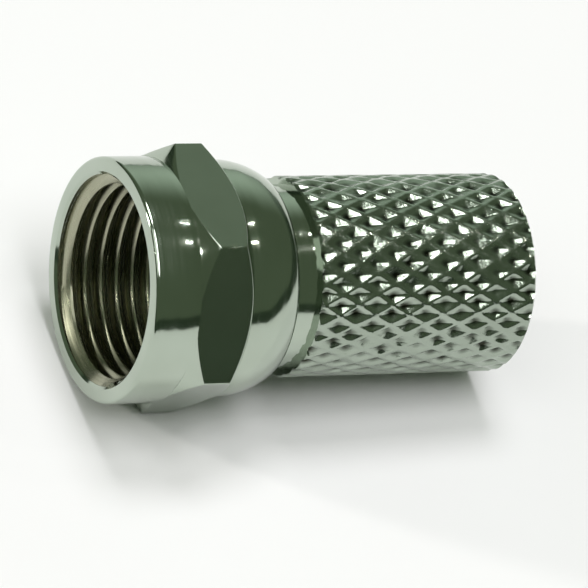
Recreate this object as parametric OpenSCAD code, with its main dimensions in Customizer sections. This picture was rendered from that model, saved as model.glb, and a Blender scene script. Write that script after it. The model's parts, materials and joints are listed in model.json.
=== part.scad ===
// Screw-on coaxial plug, F type, in millimetres. Two turned pieces: a hexagon nut that
// couples to the jack, and a knurled body that is screwed over the cable's end.
// It lies as it comes to rest, on one flat of the nut and on the sleeve's rear rim.

/* [Coupling nut] */
// Width across the hexagon's flats
nut_af = 11; // [10.8:0.1:12.5]
// Diameter of the round skirt in front of the hexagon
skirt_d = 11.1; // [10.7:0.05:11.5]
// Length of the skirt, from the rim to the hexagon's front chamfer
skirt_len = 2.25; // [1.5:0.05:3]
// Rounding of the rim's outer edge
rim_round = 0.18; // [0.05:0.01:0.3]
// Length of the hexagon's corner edges
corner_len = 1.32; // [0.8:0.02:1.8]
// Slope of the hexagon's end chamfers, from the plane across the axis
chamfer_deg = 37.5; // [25:0.5:50]
// How far the flats run out onto the skirt
flat_runout = 0.04; // [0.02:0.01:0.1]
// Diameter of the round collar behind the hexagon
collar_d = 10.74; // [10.5:0.02:10.9]
// Length of the collar's curved nose
nose_len = 2.1; // [1.6:0.05:2.4]
// How far the nose curves inwards
nose_drop = 0.66; // [0.4:0.02:0.75]
// Rounding of the nose's rear edge
nose_edge_round = 0.24; // [0.1:0.02:0.3]

/* [Nut bore] */
// Diameter of the bore, which is the 3/8 inch thread's major diameter
thread_d = 9.525; // [9.4:0.025:9.65]
// Distance from the rim to the end of the thread
thread_len = 5.3; // [4.8:0.05:6]
// Leg of the chamfer at the thread's mouth
mouth_chamfer = 0.12; // [0.06:0.01:0.4]
// Thickness of the lip that is rolled in behind the flange
lip_t = 0.9; // [0.7:0.05:1.2]

/* [Flange and neck] */
// Wall of the nut's collar round the flange
collar_wall = 0.42; // [0.36:0.01:0.5]
// Thickness of the flange
flange_t = 1.05; // [0.8:0.05:1.4]
// Chamfer round the flange's contact face
flange_chamfer = 0.2; // [0.1:0.05:0.35]
// Step from the flange's rim down to the plain neck that the nut turns on
flange_step = 0.65; // [0.5:0.01:0.8]
// Length of the neck, from the flange to the sleeve
neck_len = 2.2; // [1.6:0.05:3]

/* [Fits] */
// Radial play between the neck and the nut's lip
neck_play = 0.08; // [0.03:0.01:0.1]
// Radial play between the flange and the nut
flange_play = 0.1; // [0.05:0.01:0.15]
// Axial play between the flange and the lip
end_play = 0.05; // [0.03:0.01:0.1]
// Gap between the end of the thread and the contact face
thread_relief = 0.3; // [0.1:0.05:0.5]

/* [Knurled sleeve] */
// Diameter over the knurl
sleeve_d = 9.24; // [9.1:0.02:9.6]
// Length of the sleeve
sleeve_len = 11.1; // [8:0.1:16]
// Chamfer on the sleeve's front edge
front_chamfer = 0.12; // [0.05:0.01:0.38]
// Rounding of the sleeve's rear edge
rear_round = 0.35; // [0.2:0.05:0.4]
// Spacing of the knurl's pits round the sleeve
knurl_pitch = 0.97; // [0.75:0.01:1.2]
// Slope of the knurl's ridges against the axis
knurl_deg = 29; // [25:1:45]
// Depth of the pits
knurl_depth = 0.25; // [0.1:0.01:0.3]
// Share of each diamond that is pit, the rest being ridge
pit_share = 0.86; // [0.5:0.02:0.9]

/* [Body bores] */
// Diameter of the hole for the cable's dielectric
dielectric_d = 5; // [4.6:0.1:5.4]
// Thickness of the socket's floor behind the sleeve's front edge
floor_t = 0.6; // [0.4:0.05:2]
// Diameter of the socket that the cable's jacket screws into
socket_d = 7.4; // [6.8:0.1:7.6]
// Chamfer at the socket's mouth
socket_chamfer = 0.2; // [0.1:0.05:0.3]

/* [Hidden] */
$fn = 96;
eps = 0.5;  // length by which a cutter runs past the face that it cuts
blank_over = 0.2;  // height of the turned blank over the hexagon's corners
arc_steps = 8;
nickel = [0.62, 0.65, 0.60];

// Stations along the axis, from the nut's rim
chamfer_run = tan(chamfer_deg);  // length of a chamfer for each millimetre of height
corner_r = nut_af / 2 / cos(30);
blank_r = corner_r + blank_over;
corner_start = skirt_len + (corner_r - skirt_d / 2) * chamfer_run;
corner_end = corner_start + corner_len;
hex_end = corner_end + (corner_r - collar_d / 2) * chamfer_run;
flat_end = corner_end + (corner_r - nut_af / 2) * chamfer_run;
face_at = thread_len + thread_relief;
flange_end = face_at + flange_t;
lip_at = flange_end + end_play;
nut_len = lip_at + lip_t;
nose_at = nut_len - nose_len;
sleeve_at = flange_end + neck_len;
total_len = sleeve_at + sleeve_len;
socket_at = sleeve_at + floor_t;

// The nut's chamber, and the flange and neck that run in it
chamber_r = collar_d / 2 - collar_wall;
flange_r = chamber_r - flange_play;
neck_r = flange_r - flange_step;

// The nose is an arc that leaves the collar tangentially
nose_r = (pow(nose_len, 2) + pow(nose_drop, 2)) / (2 * nose_drop);
edge_rise = nose_len - nose_edge_round;
edge_x = collar_d / 2 - nose_r + sqrt(pow(nose_r - nose_edge_round, 2) - pow(edge_rise, 2));
nose_sweep = asin(edge_rise / (nose_r - nose_edge_round));

// Rest: the plug tips back until the sleeve's rear rim meets the floor behind the flat
rim_r = sleeve_d / 2 - rear_round;
rim_at = total_len - rear_round;
rest_span = norm([nut_af / 2 - rim_r, rim_at - flat_end]);
tilt = acos(rear_round / rest_span) - atan2(rim_at - flat_end, nut_af / 2 - rim_r);
rest_z = nut_af / 2 * cos(tilt) + flat_end * sin(tilt);
front_x = rim_round * cos(tilt) - (skirt_d / 2 - rim_round) * sin(tilt) - rim_round;
rear_x = rim_at * cos(tilt) + rim_r * sin(tilt) + rear_round;
rest_x = -(front_x + rear_x) / 2;

// Knurl lattice: pits in rows, each row half a pitch round from the one before. Half pits
// run out over both ends, as deep as a pit would be without its share of ridge.
knurl_at = sleeve_at + front_chamfer;
knurl_len = sleeve_len - front_chamfer - rear_round;
around = round(PI * sleeve_d / knurl_pitch);
pitch_deg = 360 / around;
half_pit = PI * sleeve_d / around / 2 / tan(knurl_deg);
rows = round(knurl_len / half_pit) - 1;
row_step = knurl_len / (rows + 1);
end_dip = pit_share * knurl_depth;

function arc(centre, r, from, to) =
    [for (i = [0:arc_steps]) let (a = from + (to - from) * i / arc_steps)
        centre + r * [cos(a), sin(a)]];
function on_sleeve(turns, r, at) = [r * cos(turns * pitch_deg), r * sin(turns * pitch_deg), at];
// How far an end ring's point lies below the ridges, every other one being a half pit
function dip(half, row) = (half + row) % 2 == 1 ? end_dip : 0;

// Lays a piece drawn along +Z, rim down, into the pose that it rests in
module lying() {
    translate([rest_x, 0, rest_z]) rotate([0, 90 + tilt, 0]) children();
}

module nut_outside() {
    rotate_extrude()
        polygon(concat(
            [[0, 0]],
            arc([skirt_d / 2 - rim_round, rim_round], rim_round, -90, 0),
            [[skirt_d / 2, skirt_len], [blank_r, corner_start + blank_over * chamfer_run],
                [blank_r, corner_end - blank_over * chamfer_run], [collar_d / 2, hex_end]],
            arc([collar_d / 2 - nose_r, nose_at], nose_r, 0, nose_sweep),
            arc([edge_x, nut_len - nose_edge_round], nose_edge_round, nose_sweep, 90),
            [[0, nut_len]]
        ));
}

// Everything that is milled away to leave the six flats
module flat_cutters() {
    cut_at = skirt_len - flat_runout;
    for (i = [0:5])
        rotate(i * 60)
            translate([nut_af / 2, -nut_af / 2, cut_at])
                cube([blank_r + eps - nut_af / 2, nut_af, hex_end - cut_at]);
}

module nut_bore() {
    mouth_r = thread_d / 2 + mouth_chamfer;
    lip_r = neck_r + neck_play;
    rotate_extrude()
        polygon([
            [0, -eps], [mouth_r + eps, -eps], [thread_d / 2, mouth_chamfer],
            [thread_d / 2, thread_len], [chamber_r, thread_len], [chamber_r, lip_at],
            [lip_r, lip_at], [lip_r, nut_len + eps], [0, nut_len + eps]
        ]);
}

module coupling_nut() {
    color(nickel)
        lying()
            difference() {
                nut_outside();
                flat_cutters();
                nut_bore();
            }
}

module flange_and_neck() {
    rotate_extrude()
        polygon([
            [0, face_at], [flange_r - flange_chamfer, face_at],
            [flange_r, face_at + flange_chamfer], [flange_r, flange_end],
            [neck_r, flange_end], [neck_r, sleeve_at + eps], [0, sleeve_at + eps]
        ]);
}

// The sleeve's outside: crossing ridges with diamond pits between them, which run out over
// a small front chamfer and a rounded rear edge, as one closed skin
module knurled_sleeve() {
    crest_r = sleeve_d / 2;
    ring_n = 2 * around;
    rear_arc = arc([rim_r, rim_at], rear_round, 0, 90);
    last = rows - 1;
    front_ring = [for (k = [0:ring_n - 1])
        on_sleeve(k / 2, crest_r - max(front_chamfer, dip(k, 0)), sleeve_at)];
    start_ring = [for (k = [0:ring_n - 1]) on_sleeve(k / 2, crest_r - dip(k, 0), knurl_at)];
    rear_rings = [for (p = rear_arc, k = [0:ring_n - 1])
        on_sleeve(k / 2, min(p[0], crest_r - dip(k, last)), p[1])];
    // Ridge crossings, one set on each row's line
    crossings = [for (j = [0:rows - 1], i = [0:around - 1])
        on_sleeve(i + 0.5 + (j % 2) / 2, crest_r, knurl_at + (j + 1) * row_step)];
    // Each pit has four corners on its ridges and one point at its bottom
    pits = [for (j = [0:rows - 1], i = [0:around - 1])
        let (c = i + (j % 2) / 2, at = knurl_at + (j + 1) * row_step)
            each [
                on_sleeve(c - pit_share / 2, crest_r, at),
                on_sleeve(c, crest_r, at - pit_share * row_step),
                on_sleeve(c + pit_share / 2, crest_r, at),
                on_sleeve(c, crest_r, at + pit_share * row_step),
                on_sleeve(c, crest_r - knurl_depth, at)
            ]];
    start_base = ring_n;
    rear_base = 2 * ring_n;
    cross_base = rear_base + len(rear_rings);
    pit_base = cross_base + len(crossings);
    rear_count = len(rear_arc);

    function wrap(k, n) = (k % n + n) % n;
    // A ridge crossing by row and by half pitches round; the end rings close the lattice
    function cross(j, half) =
        j < 0 ? start_base + wrap(half, ring_n)
        : j >= rows ? rear_base + wrap(half, ring_n)
        : cross_base + j * around + wrap((half - 1 - (j % 2)) / 2, around);
    function pit(j, i, corner) = pit_base + (j * around + wrap(i, around)) * 5 + corner;

    cell_faces = [for (j = [0:rows - 1], i = [0:around - 1])
        let (h = 2 * i + (j % 2),
            outer = [cross(j, h - 1), cross(j - 1, h), cross(j, h + 1), cross(j + 1, h)])
            each [for (k = [0:3]) let (n = (k + 1) % 4) each [
                [outer[k], pit(j, i, k), outer[n]],
                [outer[n], pit(j, i, k), pit(j, i, n)],
                [pit(j, i, k), pit(j, i, 4), pit(j, i, n)]
            ]]];
    // Half pits between the first row, or the last, and its ring
    start_gaps = [for (i = [0:around - 1]) let (h = 2 * i + 1) each [
        [cross(-1, h - 1), cross(0, h), cross(-1, h)],
        [cross(-1, h), cross(0, h), cross(-1, h + 1)]
    ]];
    rear_gaps = [for (i = [0:around - 1]) let (h = 2 * i + 1 + (last % 2)) each [
        [cross(rows, h - 1), cross(rows, h), cross(last, h)],
        [cross(rows, h), cross(rows, h + 1), cross(last, h)]
    ]];
    function band(low, high) = [for (k = [0:ring_n - 1]) let (n = (k + 1) % ring_n) each [
        [low + k, high + k, high + n], [low + k, high + n, low + n]
    ]];
    polyhedron(
        points = concat(front_ring, start_ring, rear_rings, crossings, pits),
        faces = concat(
            [[for (k = [0:ring_n - 1]) k]],
            band(0, start_base),
            start_gaps, cell_faces, rear_gaps,
            [for (m = [0:rear_count - 2])
                each band(rear_base + m * ring_n, rear_base + (m + 1) * ring_n)],
            [[for (k = [ring_n - 1:-1:0]) rear_base + (rear_count - 1) * ring_n + k]]
        )
    );
}

module body_bores() {
    mouth_r = socket_d / 2 + socket_chamfer;
    rotate_extrude()
        polygon([
            [0, face_at - eps], [dielectric_d / 2, face_at - eps],
            [dielectric_d / 2, socket_at], [socket_d / 2, socket_at],
            [socket_d / 2, total_len - socket_chamfer], [mouth_r + eps, total_len + eps],
            [0, total_len + eps]
        ]);
}

module knurled_body() {
    color(nickel)
        lying()
            difference() {
                union() {
                    flange_and_neck();
                    knurled_sleeve();
                }
                body_bores();
            }
}

coupling_nut();
knurled_body();
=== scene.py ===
import json
import math
import random

import bmesh
import bpy
from mathutils import Matrix, Vector


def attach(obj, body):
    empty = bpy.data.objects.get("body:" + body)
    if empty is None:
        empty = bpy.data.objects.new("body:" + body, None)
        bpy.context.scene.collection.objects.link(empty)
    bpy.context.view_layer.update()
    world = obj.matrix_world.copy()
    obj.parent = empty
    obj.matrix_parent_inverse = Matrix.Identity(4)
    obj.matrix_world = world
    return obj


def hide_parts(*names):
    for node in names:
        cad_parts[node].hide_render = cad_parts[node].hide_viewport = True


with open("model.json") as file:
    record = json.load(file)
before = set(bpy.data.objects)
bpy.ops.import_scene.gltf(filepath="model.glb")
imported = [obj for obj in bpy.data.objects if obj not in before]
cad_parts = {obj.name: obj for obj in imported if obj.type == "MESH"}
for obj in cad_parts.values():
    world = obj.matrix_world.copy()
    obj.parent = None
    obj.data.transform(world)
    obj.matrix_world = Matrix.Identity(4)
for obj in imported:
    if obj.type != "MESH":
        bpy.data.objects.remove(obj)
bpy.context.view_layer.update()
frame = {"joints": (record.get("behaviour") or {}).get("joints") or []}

# ---------------------------------------------------------------------------------------
# Camera
# The plug lies on one flat of its nut and on its sleeve's rear rim. It is seen from above
# on its near side, past the mouth of the nut, and the picture is turned to lay it level.
joint = frame["joints"][0]
axis = Vector(joint["axis"]).normalized()
tilt = math.atan2(-axis.z, axis.x)
joint_at = 7.15  # mm from the nut's rim to the joint's point, inside the rolled lip
rim = Vector(joint["pos_m"]) - axis * joint_at / 1000

azimuth, elevation, turn = math.radians(38.491), math.radians(41.065), math.radians(26.244)
away = Vector((math.sin(azimuth) * math.cos(elevation),
               math.cos(azimuth) * math.cos(elevation), -math.sin(elevation)))
nose_up = Matrix.Rotation(tilt, 3, "Y")
away = nose_up @ away
level = nose_up @ Vector((math.cos(azimuth), -math.sin(azimuth), 0))
lift = level.cross(away)
right = math.cos(turn) * level + math.sin(turn) * lift
up = math.cos(turn) * lift - math.sin(turn) * level

# Metres: the point looked at along the plug, how far the camera stands from it, and the
# small slides that bring the plug to its place in the picture
aim_at, stand_off = 0.0095, 0.26
slide_right, slide_up = 0.00023, -0.000805
camera = bpy.data.objects.new("camera", bpy.data.cameras.new("camera"))
bpy.context.scene.collection.objects.link(camera)
camera.data.sensor_width = 36
camera.data.lens = 350.2
camera.data.clip_start = 0.01
camera.data.clip_end = 10
camera.location = (rim + axis * aim_at - stand_off * away + slide_right * right
                   + slide_up * up)
camera.rotation_euler = Matrix((right, up, -away)).transposed().to_euler()
bpy.context.scene.camera = camera

# ---------------------------------------------------------------------------------------
# Coupling nut
# One piece of brass: a round skirt round the thread, a hexagon milled on the turned
# blank, and a collar whose tail is rolled in behind the body's flange.

# Sizes are in millimetres. A name in _at, _start or _end is a distance from the nut's rim
nut_af = 11.0
corner_r = nut_af / 2 / math.cos(math.radians(30))
blank_over = 0.2
blank_r = corner_r + blank_over
skirt_r = 5.55
skirt_len = 2.25
rim_round = 0.18
collar_r = 5.37
corner_len = 1.32
chamfer_run = math.tan(math.radians(37.5))
corner_start = skirt_len + (corner_r - skirt_r) * chamfer_run
corner_end = corner_start + corner_len
hex_end = corner_end + (corner_r - collar_r) * chamfer_run
tumbled_edge = 0.045
nut_len = 7.6
nose_len = 2.1
nose_drop = 0.66
nose_edge_round = 0.24
nose_at = nut_len - nose_len
nose_r = (nose_len ** 2 + nose_drop ** 2) / (2 * nose_drop)
nose_sweep = math.asin((nose_len - nose_edge_round) / (nose_r - nose_edge_round))
lip_r = 4.28
lip_t = 0.9
lip_edge = 0.06
lip_at = nut_len - lip_t
chamber_r = 4.95
thread_r = 4.7625
thread_crest_r = 4.34
thread_len = 5.3
thread_pitch = 25.4 / 32
thread_start = 0.52 - thread_pitch
thread_end = 5.0
mouth_chamfer = 0.12
slack = 0.01  # allowed when edges and faces are picked out by where they are

# Takes a piece from its own millimetres, with +Z along the plug from the rim, to its
# place, and back
lying = (Matrix.Translation(rim) @ Matrix.Rotation(math.pi / 2 + tilt, 4, "Y")
         @ Matrix.Scale(0.001, 4))
standing = lying.inverted()


def walk(mesh, points, start=None):
    """Draws a chain of edges through profile points (radius, station)."""
    for radius, station in points:
        vert = mesh.verts.new((radius, 0, station))
        if start:
            mesh.edges.new((start, vert))
        start = vert
    return start


def swing(mesh, vert, centre, degrees, steps):
    """Carries a profile on as an arc round a centre (radius, station)."""
    arc = bmesh.ops.spin(mesh, geom=[vert], cent=(centre[0], 0, centre[1]), axis=(0, -1, 0),
                         angle=math.radians(degrees), steps=steps, use_merge=False,
                         use_normal_flip=False, use_duplicate=False)
    return arc["geom_last"][0]


def turn_profile(mesh, steps):
    """Turns the drawn profile once round the axis, as on a lathe."""
    bmesh.ops.spin(mesh, geom=mesh.verts[:] + mesh.edges[:], cent=(0, 0, 0), axis=(0, 0, 1),
                   angle=math.tau, steps=steps, use_merge=True, use_normal_flip=False,
                   use_duplicate=False)
    bmesh.ops.remove_doubles(mesh, verts=mesh.verts, dist=0.001)
    bmesh.ops.recalc_face_normals(mesh, faces=mesh.faces)


def screw_ridge(mesh, root_r, crest_r, pitch, start, end):
    """A right-hand thread's ridge inside a bore, run out into the wall at both ends."""
    steps_a_turn = 72
    half_root, half_crest, half_flat = pitch * 0.42, pitch * 0.1, pitch * 0.06
    crest_round = 0.03
    bury = 0.03
    section = [mesh.verts.new((radius, 0, start + rise)) for radius, rise in (
        (root_r + bury, -half_root), (root_r, -half_root),
        (crest_r + crest_round, -half_crest), (crest_r, -half_flat), (crest_r, half_flat),
        (crest_r + crest_round, half_crest), (root_r, half_root), (root_r + bury, half_root))]
    sides = [mesh.edges.new((a, b)) for a, b in zip(section, section[1:] + section[:1])]
    turns = (end - start) / pitch
    count = round(turns * steps_a_turn)
    before = set(mesh.verts) - set(section)
    bmesh.ops.spin(mesh, geom=section + sides, cent=(0, 0, 0), axis=(0, 0, 1),
                   dvec=(0, 0, (end - start) / count), angle=math.tau * turns, steps=count,
                   use_merge=False, use_normal_flip=False, use_duplicate=False)
    ridge = [vert for vert in mesh.verts if vert not in before]
    ends = [edge for edge in mesh.edges if edge.is_boundary and edge.verts[0] not in before]
    bmesh.ops.holes_fill(mesh, edges=ends, sides=len(section))
    run_out = pitch * 0.7
    sunk_r = root_r + bury / 2
    for vert in ridge:
        radius = vert.co.xy.length
        if radius < root_r:
            from_end = min(vert.co.z - start, end - vert.co.z) + half_root
            share = max(0.0, min(1.0, from_end / run_out))
            vert.co.xy *= (sunk_r - (sunk_r - radius) * share) / radius
    return ridge


def machined(blank_mesh, tool_mesh):
    """Takes away from one closed mesh what another one fills, and uses both up."""
    pieces = []
    for name, mesh in (("blank", blank_mesh), ("tool", tool_mesh)):
        bmesh.ops.recalc_face_normals(mesh, faces=mesh.faces)
        data = bpy.data.meshes.new(name)
        mesh.to_mesh(data)
        mesh.free()
        pieces.append(bpy.data.objects.new(name, data))
        bpy.context.scene.collection.objects.link(pieces[-1])
    cut = pieces[0].modifiers.new("cut", "BOOLEAN")
    cut.operation = "DIFFERENCE"
    cut.solver = "EXACT"
    cut.object = pieces[1]
    bpy.context.view_layer.update()
    result = bmesh.new()
    result.from_mesh(bpy.data.meshes.new_from_object(
        pieces[0].evaluated_get(bpy.context.evaluated_depsgraph_get())))
    for piece in pieces:
        bpy.data.objects.remove(piece)
    # Sorted, because the Boolean leaves its points in another order each time
    bmesh.ops.remove_doubles(result, verts=sorted(result.verts, key=lambda vert: vert.co[:]),
                             dist=0.004)
    return result


def finished_object(mesh, name):
    """Lays the piece down in its place and gives it smooth faces with crisp edges."""
    crisp_angle = math.radians(34)
    bmesh.ops.recalc_face_normals(mesh, faces=mesh.faces)
    for face in mesh.faces:
        face.smooth = True
    for edge in mesh.edges:
        edge.smooth = edge.calc_face_angle(0) < crisp_angle
    bmesh.ops.transform(mesh, matrix=lying, verts=mesh.verts)
    data = bpy.data.meshes.new(name)
    mesh.to_mesh(data)
    mesh.free()
    piece = bpy.data.objects.new(name, data)
    bpy.context.scene.collection.objects.link(piece)
    even = piece.modifiers.new("even_shading", "WEIGHTED_NORMAL")
    even.keep_sharp = True
    return piece


# The turned blank
nut_mesh = bmesh.new()
first = walk(nut_mesh, [(skirt_r - rim_round, 0)])
last = swing(nut_mesh, first, (skirt_r - rim_round, rim_round), 90, 4)
last = walk(nut_mesh, [(skirt_r, skirt_len), (blank_r, corner_start + blank_over * chamfer_run),
                       (blank_r, corner_end - blank_over * chamfer_run),
                       (collar_r, hex_end), (collar_r, nose_at)], last)
last = swing(nut_mesh, last, (collar_r - nose_r, nose_at), math.degrees(nose_sweep), 10)
edge_x = last.co.x - nose_edge_round * math.cos(nose_sweep)
last = swing(nut_mesh, last, (edge_x, nut_len - nose_edge_round),
             90 - math.degrees(nose_sweep), 4)
last = walk(nut_mesh, [(lip_r + lip_edge, nut_len), (lip_r, nut_len - lip_edge),
                       (lip_r, lip_at), (chamber_r, lip_at), (chamber_r, thread_len),
                       (thread_r, thread_len), (thread_r, mouth_chamfer),
                       (thread_r + mouth_chamfer, 0)], last)
nut_mesh.edges.new((last, first))
turn_profile(nut_mesh, 192)

# The six flats are milled off with a ring cutter that has a hexagonal hole. It starts a
# hair behind the skirt and leaves the skirt's own faces whole
hair = 0.002
cutter_width = 3
cutter_mesh = bmesh.new()
for radius in (corner_r, corner_r + cutter_width):
    bmesh.ops.create_circle(cutter_mesh, segments=6, radius=radius, cap_ends=False,
                            matrix=Matrix.Translation((0, 0, skirt_len + hair)))
bmesh.ops.bridge_loops(cutter_mesh, edges=cutter_mesh.edges)
lifted = bmesh.ops.extrude_face_region(cutter_mesh, geom=cutter_mesh.faces[:])
bmesh.ops.translate(cutter_mesh, vec=(0, 0, hex_end - skirt_len),
                    verts=[item for item in lifted["geom"]
                           if isinstance(item, bmesh.types.BMVert)])
nut_mesh = machined(nut_mesh, cutter_mesh)

# Tumbling before plating leaves the milled edges slightly round
milled_edges = [edge for edge in nut_mesh.edges
                if edge.calc_face_angle_signed(0) > math.radians(20)
                and all(vert.co.xy.length > nut_af / 2 - slack for vert in edge.verts)
                and all(skirt_len + 2 * slack < vert.co.z < hex_end for vert in edge.verts)]
bmesh.ops.bevel(nut_mesh, geom=milled_edges, offset=tumbled_edge, offset_type="OFFSET",
                segments=2, profile=0.5, affect="EDGES", clamp_overlap=False, material=-1)

# The countersink at the mouth cuts the thread's first turn off
thread = screw_ridge(nut_mesh, thread_r, thread_crest_r, thread_pitch, thread_start,
                     thread_end)
cut_back = 0.03
for vert in thread:
    vert.co.z = max(vert.co.z, cut_back)
    behind_chamfer = thread_r + mouth_chamfer + cut_back - vert.co.z
    vert.co.xy *= max(1.0, behind_chamfer / vert.co.xy.length)
coupling_nut = finished_object(nut_mesh, "plated_nut")
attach(coupling_nut, "nut")
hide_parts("coupling_nut")


def linear(code):
    """Turns an sRGB hex colour into the linear colour that a shader takes."""
    parts = [int(code[i:i + 2], 16) / 255 for i in (1, 3, 5)]
    return [p / 12.92 if p <= 0.04045 else ((p + 0.055) / 1.055) ** 2.4
            for p in parts] + [1.0]


def add_node(tree, kind, settings=None, inputs=None):
    """Adds a node: its settings, and for each input a value or the socket that feeds it."""
    node = tree.nodes.new(kind)
    for name, value in (settings or {}).items():
        setattr(node, name, value)
    for key, value in (inputs or {}).items():
        socket = node.inputs[key]
        if isinstance(value, bpy.types.NodeSocket):
            tree.links.new(value, socket)
        else:
            socket.default_value = value
    return node


def nickel(name, bright, dull, roughness, patchy, grain, grain_depth, wave_depth):
    """Bright nickel plate on brass: it mirrors the room in a green-grey tone, duller and
    by a share patchy in cloudy spots. Its grain, with so many marks to a millimetre each
    way, draws the reflections out, and slow waves along the plug break a lamp's streak
    into dots. Both depths are in millimetres."""
    finish = bpy.data.materials.new(name)
    finish.use_nodes = True
    tree = finish.node_tree
    shader = tree.nodes["Principled BSDF"]
    shader.inputs["Metallic"].default_value = 1.0
    # Millimetres from the nut's rim, with +Z along the plug, whichever way the plug lies
    place = add_node(tree, "ShaderNodeTexCoord")
    plug_place = add_node(tree, "ShaderNodeMapping", {"name": "plug_place"},
                          {"Vector": place.outputs["Object"],
                           "Location": standing.to_translation(),
                           "Rotation": (0, -math.pi / 2 - tilt, 0),
                           "Scale": (1000, 1000, 1000)}).outputs["Vector"]
    # Clouds of thin tarnish, about 3 mm across
    clouds = add_node(tree, "ShaderNodeTexNoise", None,
                      {"Vector": plug_place, "Scale": 0.33, "Detail": 3.0})
    tone = add_node(tree, "ShaderNodeMix", {"data_type": "RGBA"},
                    {"Factor": clouds.outputs["Fac"], 6: linear(bright), 7: linear(dull)})
    tree.links.new(tone.outputs[2], shader.inputs["Base Color"])
    stretched = add_node(tree, "ShaderNodeMapping", None, {"Vector": plug_place, "Scale": grain})
    marks = add_node(tree, "ShaderNodeTexNoise", None,
                     {"Vector": stretched.outputs["Vector"], "Scale": 1.0, "Detail": 2.0})
    worn = add_node(tree, "ShaderNodeMapRange", None,
                    {"Value": marks.outputs["Fac"], "From Min": 0.3, "From Max": 0.7,
                     "To Min": roughness * (1 - patchy), "To Max": roughness * (1 + patchy)})
    tree.links.new(worn.outputs["Result"], shader.inputs["Roughness"])
    # Waves about 1 mm long, and drawn out round the plug
    along = add_node(tree, "ShaderNodeMapping", None,
                     {"Vector": plug_place, "Scale": (0.12, 0.12, 1.1)})
    waves = add_node(tree, "ShaderNodeTexNoise", None,
                     {"Vector": along.outputs["Vector"], "Scale": 1.0, "Detail": 1.0})
    slow = add_node(tree, "ShaderNodeBump", None,
                    {"Height": waves.outputs["Fac"], "Distance": wave_depth / 1000})
    fine = add_node(tree, "ShaderNodeBump", None,
                    {"Height": marks.outputs["Fac"], "Distance": grain_depth / 1000,
                     "Normal": slow.outputs["Normal"]})
    tree.links.new(fine.outputs["Normal"], shader.inputs["Normal"])
    return finish


# Turned faces keep the lathe's fine rings, drawn a little coarser than they are to show
turned_nickel = nickel("turned_nickel_plate", bright="#b8c3b6", dull="#a5afa0",
                       roughness=0.1, patchy=0.3, grain=(0.1, 0.1, 6.0),
                       grain_depth=0.0006, wave_depth=0.045)
# The milled flats are plain, even mirrors of the room
milled_nickel = nickel("milled_nickel_plate", bright="#b8c3b6", dull="#a5afa0",
                       roughness=0.13, patchy=0.05, grain=(1.5, 1.5, 1.5),
                       grain_depth=0.0003, wave_depth=0.0)
# The plate is thin and dull inside the thread, and the brass warms it
thread_nickel = nickel("thin_nickel_in_thread", bright="#b2b39e", dull="#94947e",
                       roughness=0.26, patchy=0.3, grain=(0.3, 0.3, 8.0),
                       grain_depth=0.001, wave_depth=0.0)
for finish in (turned_nickel, milled_nickel, thread_nickel):
    coupling_nut.data.materials.append(finish)
countersink_end = 0.2
for face in coupling_nut.data.polygons:
    across = (standing.to_3x3() @ face.normal).normalized()
    centre = standing @ face.center
    if abs(across.z) < slack and abs(centre.xy.dot(across.xy) - nut_af / 2) < slack:
        face.material_index = 1
    elif centre.xy.length < thread_r + slack and countersink_end < centre.z < thread_len:
        face.material_index = 2

# ---------------------------------------------------------------------------------------
# Knurled body
# One piece of brass: the flange and neck that the nut turns on, and the sleeve that is
# gripped and screwed onto the cable, with a diamond knurl pressed in by two wheels.
face_at = 5.6
flange_end = 6.65
flange_r = 4.85
flange_chamfer = 0.2
flange_edge = 0.04
neck_r = 4.2
sleeve_at = 8.85
sleeve_end = 19.95
crest_r = 4.62
front_chamfer = 0.12
rear_round = 0.35
dielectric_r = 2.5
dielectric_edge = 0.05
socket_at = 9.45
socket_r = 3.7
socket_chamfer = 0.2
cable_thread_crest_r = 3.42
cable_thread_pitch = 1.0
cable_thread_start = socket_at + 0.7
cable_thread_end = sleeve_end - 0.75
knurl_at = sleeve_at + front_chamfer
knurl_end = sleeve_end - rear_round
around = 30
half_rows = 12
row_step = (knurl_end - knurl_at) / half_rows
pit_depth = 0.25
ridge_round = 0.11

# The turned blank, with some stock left on for the knurl, so that the wheels make its crests
stock = 0.02
body_mesh = bmesh.new()
first = walk(body_mesh, [(crest_r, knurl_end)])
last = swing(body_mesh, first, (crest_r - rear_round, knurl_end), 90, 6)
last = walk(body_mesh, [(socket_r + socket_chamfer, sleeve_end),
                        (socket_r, sleeve_end - socket_chamfer),
                        (socket_r, socket_at), (dielectric_r, socket_at),
                        (dielectric_r, face_at + dielectric_edge),
                        (dielectric_r + dielectric_edge, face_at),
                        (flange_r - flange_chamfer, face_at),
                        (flange_r, face_at + flange_chamfer),
                        (flange_r, flange_end - flange_edge),
                        (flange_r - flange_edge, flange_end),
                        (neck_r, flange_end), (neck_r, sleeve_at),
                        (crest_r - front_chamfer, sleeve_at), (crest_r, knurl_at)], last)
body_mesh.edges.new((last, first))
turn_profile(body_mesh, 6 * around)
for vert in body_mesh.verts:
    if vert.co.xy.length > crest_r - slack and vert.co.z > flange_end:
        vert.co.xy *= (crest_r + stock) / crest_r

# The knurling wheels' work: a net of crossing ridges that starts as a net of squares. A
# centre is poked into each square, and the squares' own sides are dissolved, which leaves
# diamonds. Each becomes a pit, no two quite alike, and the net gets rounded ridges.
rolled = random.Random(4)


def stray(vert, turn, slide):
    """Shifts a point of the knurl a little, in radians round and millimetres along."""
    wander = Matrix.Rotation(rolled.gauss(0, turn), 3, "Z")
    vert.co = wander @ vert.co + Vector((0, 0, rolled.gauss(0, slide)))


def knurl_order(vert):
    """A knurl point's row and column, so that each run draws it the same numbers."""
    column = round(math.atan2(vert.co.y, vert.co.x) * around / math.pi)
    return round((vert.co.z - knurl_at) / row_step), column % (2 * around)


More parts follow.
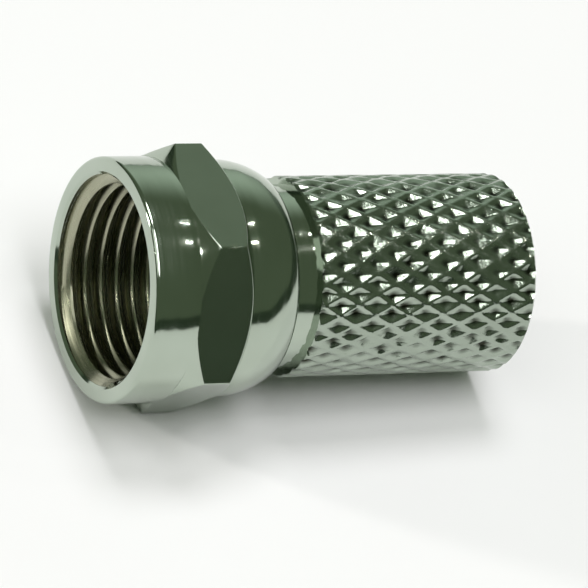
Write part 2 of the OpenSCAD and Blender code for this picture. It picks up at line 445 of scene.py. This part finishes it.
knurl_mesh = bmesh.new()
walk(knurl_mesh, [(crest_r, knurl_at + 2 * row_step * i)
                  for i in range(-1, half_rows // 2 + 2)])
turn_profile(knurl_mesh, around)
sides = [edge for edge in knurl_mesh.edges if not edge.is_boundary]
bmesh.ops.poke(knurl_mesh, faces=knurl_mesh.faces[:])
bmesh.ops.dissolve_edges(knurl_mesh, edges=sides, use_verts=False)
for vert in sorted(knurl_mesh.verts, key=knurl_order):
    vert.co.xy *= crest_r / vert.co.xy.length
    if not vert.is_boundary:
        stray(vert, 0.004, 0.03)
diamonds = [face for face in knurl_mesh.faces if len(face.verts) == 4]
bmesh.ops.recalc_face_normals(knurl_mesh, faces=knurl_mesh.faces)
ridges = {edge for face in diamonds for edge in face.edges}
pits = bmesh.ops.poke(knurl_mesh, faces=diamonds, offset=-pit_depth, center_mode="MEAN")
for vert in sorted(pits["verts"], key=knurl_order):
    stray(vert, 0.016, 0.12)
    vert.co.xy *= 1 + max(-0.012, min(0.012, rolled.gauss(0, 0.006)))
    ridges.update(vert.link_edges)
bmesh.ops.bevel(knurl_mesh, geom=list(ridges), offset=ridge_round, offset_type="OFFSET",
                segments=3, profile=0.5, affect="EDGES", clamp_overlap=True, material=-1)

# The net is closed into a ring outside the blank, and the ring is what the wheels take off
ring_r = 6.0
rims = [edge for edge in knurl_mesh.edges if edge.is_boundary]
walls = bmesh.ops.extrude_edge_only(knurl_mesh, edges=rims)["geom"]
for vert in walls:
    if isinstance(vert, bmesh.types.BMVert):
        vert.co.xy *= ring_r / vert.co.xy.length
bmesh.ops.bridge_loops(knurl_mesh, edges=[edge for edge in knurl_mesh.edges
                                          if edge.is_boundary])
body_mesh = machined(body_mesh, knurl_mesh)
screw_ridge(body_mesh, socket_r, cable_thread_crest_r, cable_thread_pitch,
            cable_thread_start, cable_thread_end)
knurled_body = finished_object(body_mesh, "plated_body")
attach(knurled_body, "body")
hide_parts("knurled_body")

# The wheels' print leaves the knurl rougher, so that it sparkles instead of mirroring
knurled_nickel = nickel("knurled_nickel_plate", bright="#b6c1b4", dull="#8c9688",
                        roughness=0.18, patchy=0.3, grain=(2.6, 2.6, 2.6),
                        grain_depth=0.02, wave_depth=0.0)
# Painted shade: the plate's colour is drawn darker toward the bottoms of the pits, where shade
# falls
knurl_tree = knurled_nickel.node_tree
plate_colour = knurl_tree.nodes["Principled BSDF"].inputs["Base Color"]
spread = add_node(knurl_tree, "ShaderNodeMapping", None,
                  {"Vector": knurl_tree.nodes["plug_place"].outputs["Vector"],
                   "Scale": (1, 1, 0)})
from_axis = add_node(knurl_tree, "ShaderNodeVectorMath", {"operation": "LENGTH"},
                     {0: spread.outputs["Vector"]})
# Fades the painted pit shade out from the pits' bottoms toward the crests
out_of_pit_shade = add_node(knurl_tree, "ShaderNodeMapRange", None,
                   {"Value": from_axis.outputs["Value"], "From Min": crest_r - 0.23,
                    "From Max": crest_r - 0.12})
# Painted shade: a dark olive mixed into the plate's colour deep in the pits
painted_pit_shade = add_node(knurl_tree, "ShaderNodeMix", {"data_type": "RGBA"},
                 {"Factor": out_of_pit_shade.outputs["Result"], 6: linear("#2e3026"),
                  7: plate_colour.links[0].from_socket})
knurl_tree.links.new(painted_pit_shade.outputs[2], plate_colour)
for finish in (turned_nickel, knurled_nickel):
    knurled_body.data.materials.append(finish)
deepest_r = crest_r - pit_depth - 0.06
for face in knurled_body.data.polygons:
    centre = standing @ face.center
    if centre.xy.length > deepest_r and centre.z > sleeve_at + slack:
        face.material_index = 1

# ---------------------------------------------------------------------------------------
# Table, lamps and room
# A matt white card on a table in a dim room. Round softboxes overhead light the card and
# glint in the knurl, and small bare lamps put the dots and streaks on the turned faces.
floor_mesh = bmesh.new()
bmesh.ops.create_grid(floor_mesh, x_segments=1, y_segments=1, size=3)
floor_data = bpy.data.meshes.new("table")
floor_mesh.to_mesh(floor_data)
floor_mesh.free()
table = bpy.data.objects.new("table", floor_data)
bpy.context.scene.collection.objects.link(table)
paper = bpy.data.materials.new("white_card")
paper.use_nodes = True
card = paper.node_tree.nodes["Principled BSDF"]
card.inputs["Base Color"].default_value = linear("#f4f2f5")
card.inputs["Roughness"].default_value = 0.9
table.data.materials.append(paper)


def add_lamp(name, toward, distance, width, watts, tint):
    """A round lamp, so many metres off and wide, that faces the plug from a direction."""
    light = bpy.data.lights.new(name, "AREA")
    light.shape = "DISK"
    light.size = width
    light.energy = watts
    light.color = linear(tint)[:3]
    lamp = bpy.data.objects.new(name, light)
    direction = Vector(toward).normalized()
    lamp.location = direction * distance
    lamp.rotation_euler = direction.to_track_quat("Z", "Y").to_euler()
    bpy.context.scene.collection.objects.link(lamp)


add_lamp("softbox_overhead", (0.07, 0.3, 0.93), 1.0, 0.36, 3.5, "#ffffff")
add_lamp("softbox_in_front", (0.07, -0.13, 0.93), 1.0, 0.36, 2.0, "#ffffff")
add_lamp("low_softbox_in_front", (0.02, -0.47, 0.92), 1.0, 0.42, 2.6, "#ffffff")
add_lamp("soft_fill_on_the_left", (-0.55, -0.2, 0.8), 1.0, 0.7, 1.35, "#ffffff")
add_lamp("lamp_over_table", (0.455, -0.134, 0.853), 0.8, 0.01, 0.1, "#fffdf6")
add_lamp("second_lamp_over_table", (0.455, 0.16, 0.84), 0.8, 0.008, 0.06, "#fffdf6")
add_lamp("lamp_low_on_the_left", (-0.88, 0.4, 0.22), 0.8, 0.06, 2.4, "#fffdf6")
add_lamp("small_lamp_on_the_left", (-0.94, 0.06, 0.35), 0.8, 0.02, 0.08, "#fffdf6")

# The room is dim and greenish, darker still low along its walls, with a broad bright patch
# of daylight on the wall behind the table
toward_daylight = (0.468, 0.846, 0.259)
room = bpy.data.worlds.new("room")
bpy.context.scene.world = room
room.use_nodes = True
outward = add_node(room.node_tree, "ShaderNodeTexCoord").outputs["Generated"]
upward = add_node(room.node_tree, "ShaderNodeSeparateXYZ", None, {"Vector": outward})
above_dado = add_node(room.node_tree, "ShaderNodeMapRange", None,
                      {"Value": upward.outputs["Z"], "From Min": 0.145, "From Max": 0.19})
wall = add_node(room.node_tree, "ShaderNodeMix", {"data_type": "RGBA"},
                {"Factor": above_dado.outputs["Result"], 6: linear("#384435"),
                 7: linear("#5d6955")})
near_daylight = add_node(room.node_tree, "ShaderNodeVectorMath", {"operation": "DOT_PRODUCT"},
                         {0: outward, 1: toward_daylight})
patch = add_node(room.node_tree, "ShaderNodeMapRange", None,
                 {"Value": near_daylight.outputs["Value"], "From Min": 0.8, "From Max": 1.0})
soft_edge = add_node(room.node_tree, "ShaderNodeMath", {"operation": "POWER"},
                     {0: patch.outputs["Result"], 1: 2.2})
tint = add_node(room.node_tree, "ShaderNodeMix", {"data_type": "RGBA"},
                {"Factor": soft_edge.outputs["Value"], 6: wall.outputs[2],
                 7: linear("#c0cfc0")})
room.node_tree.links.new(tint.outputs[2], room.node_tree.nodes["Background"].inputs["Color"])
bpy.context.scene.view_settings.view_transform = "Standard"
